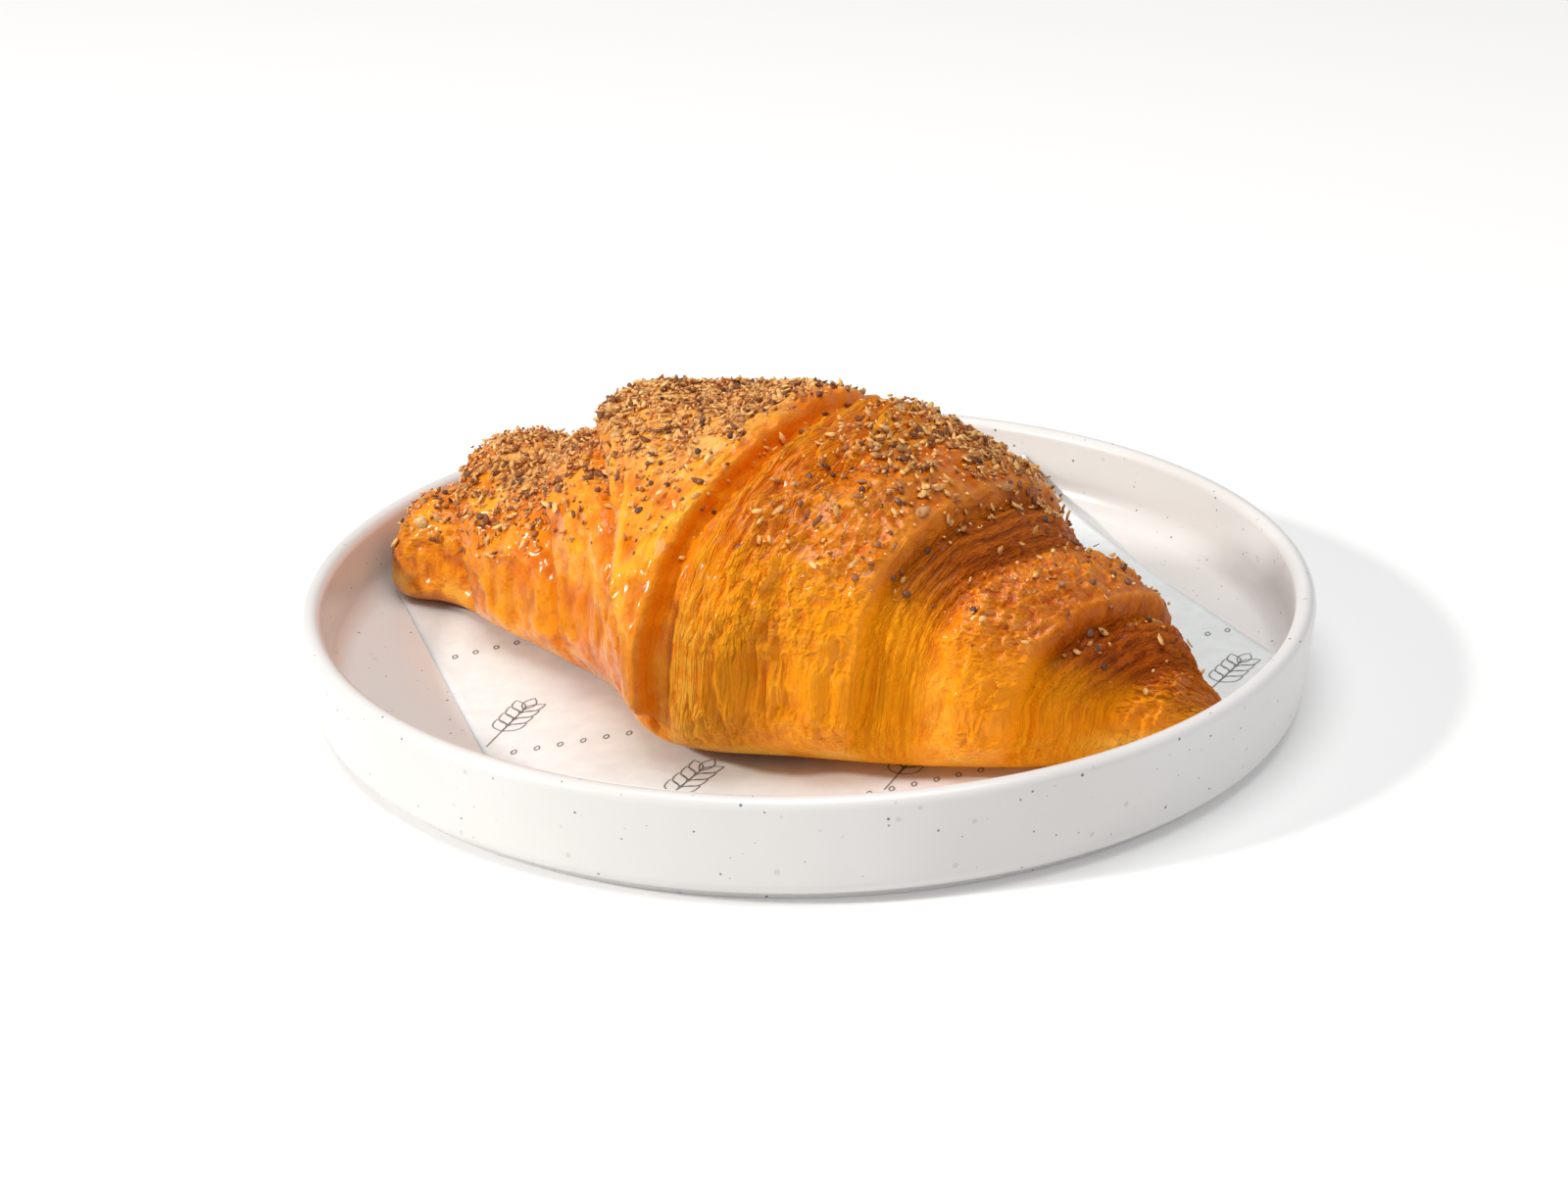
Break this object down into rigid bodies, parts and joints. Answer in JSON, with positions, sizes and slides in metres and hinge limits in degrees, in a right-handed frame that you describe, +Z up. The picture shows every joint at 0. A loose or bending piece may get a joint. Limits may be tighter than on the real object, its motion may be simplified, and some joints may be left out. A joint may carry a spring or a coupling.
{
  "type": "croissant on a plate",
  "caption": "Baked croissant with a herb and sesame topping, lying on a greaseproof paper liner in a low-walled round plate.",
  "frame": {"origin": "centre of the plate's foot ring, on the surface that it stands on", "axes": "+Z up, out of the plate's well; +X to the right and +Y to the back, seen from the side that the croissant's narrower right tip points towards"},
  "size_m": [0.2, 0.2, 0.0655],
  "materials": {
    "stoneware": "satin off-white glaze with sparse grey specks",
    "paper": "smooth matte greaseproof paper",
    "crust": "baked golden crust with a glossy egg wash",
    "herbs": "dry, crumbly dried herbs and spice",
    "sesame": "toasted, satin seed"
  },
  "bodies": {
    "root": {"plate": "stoneware", "liner_paper": "paper", "croissant": "crust", "zaatar_topping_left": "herbs", "zaatar_topping_right": "herbs", "sesame_seed_01": "sesame", "sesame_seed_02": "sesame", "sesame_seed_03": "sesame", "sesame_seed_04": "sesame", "sesame_seed_05": "sesame", "sesame_seed_06": "sesame", "sesame_seed_07": "sesame", "sesame_seed_08": "sesame", "sesame_seed_09": "sesame", "sesame_seed_10": "sesame", "sesame_seed_11": "sesame", "sesame_seed_12": "sesame", "sesame_seed_13": "sesame", "sesame_seed_14": "sesame", "sesame_seed_15": "sesame", "sesame_seed_16": "sesame", "sesame_seed_17": "sesame", "sesame_seed_18": "sesame", "sesame_seed_19": "sesame", "sesame_seed_20": "sesame", "sesame_seed_21": "sesame", "sesame_seed_22": "sesame", "sesame_seed_23": "sesame", "sesame_seed_24": "sesame"}
  },
  "joints": []
}
